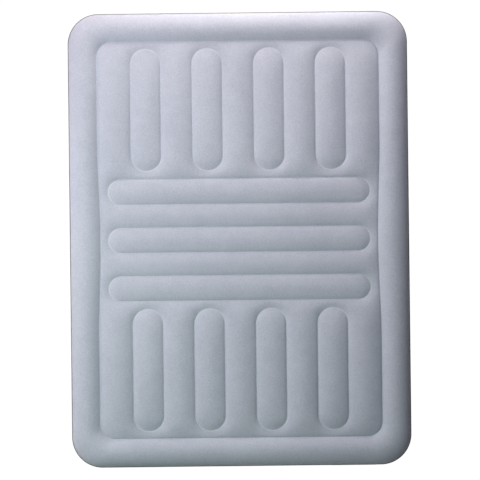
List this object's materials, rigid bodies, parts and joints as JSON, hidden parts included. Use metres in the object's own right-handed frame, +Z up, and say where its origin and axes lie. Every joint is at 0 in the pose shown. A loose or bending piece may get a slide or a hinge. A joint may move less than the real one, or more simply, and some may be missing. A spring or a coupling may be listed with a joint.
{
  "type": "air mattress",
  "caption": "Inflated flocked air mattress with a raised perimeter chamber, capsule-shaped air beams across its top and a recessed screw-in valve in the foot end.",
  "frame": {"origin": "on the floor under the middle of the bed", "axes": "+Z up, +Y along the bed towards the head end, +X across the bed; the valve is in the foot end, at -Y"},
  "size_m": [1.52, 2.03, 0.22],
  "materials": {
    "flocked_top": "short velvety flock on vinyl",
    "base_vinyl": "satin vinyl",
    "weld_vinyl": "pressed vinyl weld",
    "beam_vinyl": "plain vinyl",
    "valve_plastic": "moulded satin",
    "plug_plastic": "soft moulded satin",
    "seal_rubber": "matt rubber",
    "flap_silicone": "smooth silicone",
    "pin_plastic": "smooth nylon"
  },
  "bodies": {
    "mattress": {"top_sheet": "flocked_top", "bottom_sheet": "base_vinyl", "side_wall": "base_vinyl", "valve_panel": "base_vinyl", "top_edge_weld": "weld_vinyl", "bottom_edge_weld": "weld_vinyl", "perimeter_beam": "beam_vinyl", "head_beam_1": "beam_vinyl", "head_beam_2": "beam_vinyl", "head_beam_3": "beam_vinyl", "head_beam_4": "beam_vinyl", "middle_beam_1": "beam_vinyl", "middle_beam_2": "beam_vinyl", "middle_beam_3": "beam_vinyl", "foot_beam_1": "beam_vinyl", "foot_beam_2": "beam_vinyl", "foot_beam_3": "beam_vinyl", "foot_beam_4": "beam_vinyl", "valve_base": "valve_plastic"},
    "insert_seal": {"valve_seal": "seal_rubber"},
    "valve_insert": {"inflation_insert": "valve_plastic", "tether_ring": "plug_plastic", "flap_pin": "pin_plastic"},
    "valve_plug": {"plug": "plug_plastic"},
    "valve_flap": {"check_flap": "flap_silicone"}
  },
  "joints": [
    {"name": "insert_lift", "type": "slide", "parent": "mattress", "child": "insert_seal", "axis": [0, -1, 0], "range_m": [0, 0.0135]},
    {"name": "insert_turn", "type": "hinge", "parent": "insert_seal", "child": "valve_insert", "pos_m": [0.5, -1.015, 0.11], "axis": [0, -1, 0], "range_deg": [0, 720]},
    {"name": "plug_swing", "type": "hinge", "parent": "valve_insert", "child": "valve_plug", "pos_m": [0.5, -1.01475, 0.12668], "axis": [-1, 0, 0], "range_deg": [0, 140]},
    {"name": "flap_swing", "type": "hinge", "parent": "valve_insert", "child": "valve_flap", "pos_m": [0.5, -0.9902, 0.1242], "axis": [1, 0, 0], "range_deg": [0, 60], "stiffness_Nm_per_rad": 0.0006}
  ],
  "couplings": [
    {"joint": "insert_lift", "follows": "insert_turn", "m_per_rad": 0.00107}
  ]
}
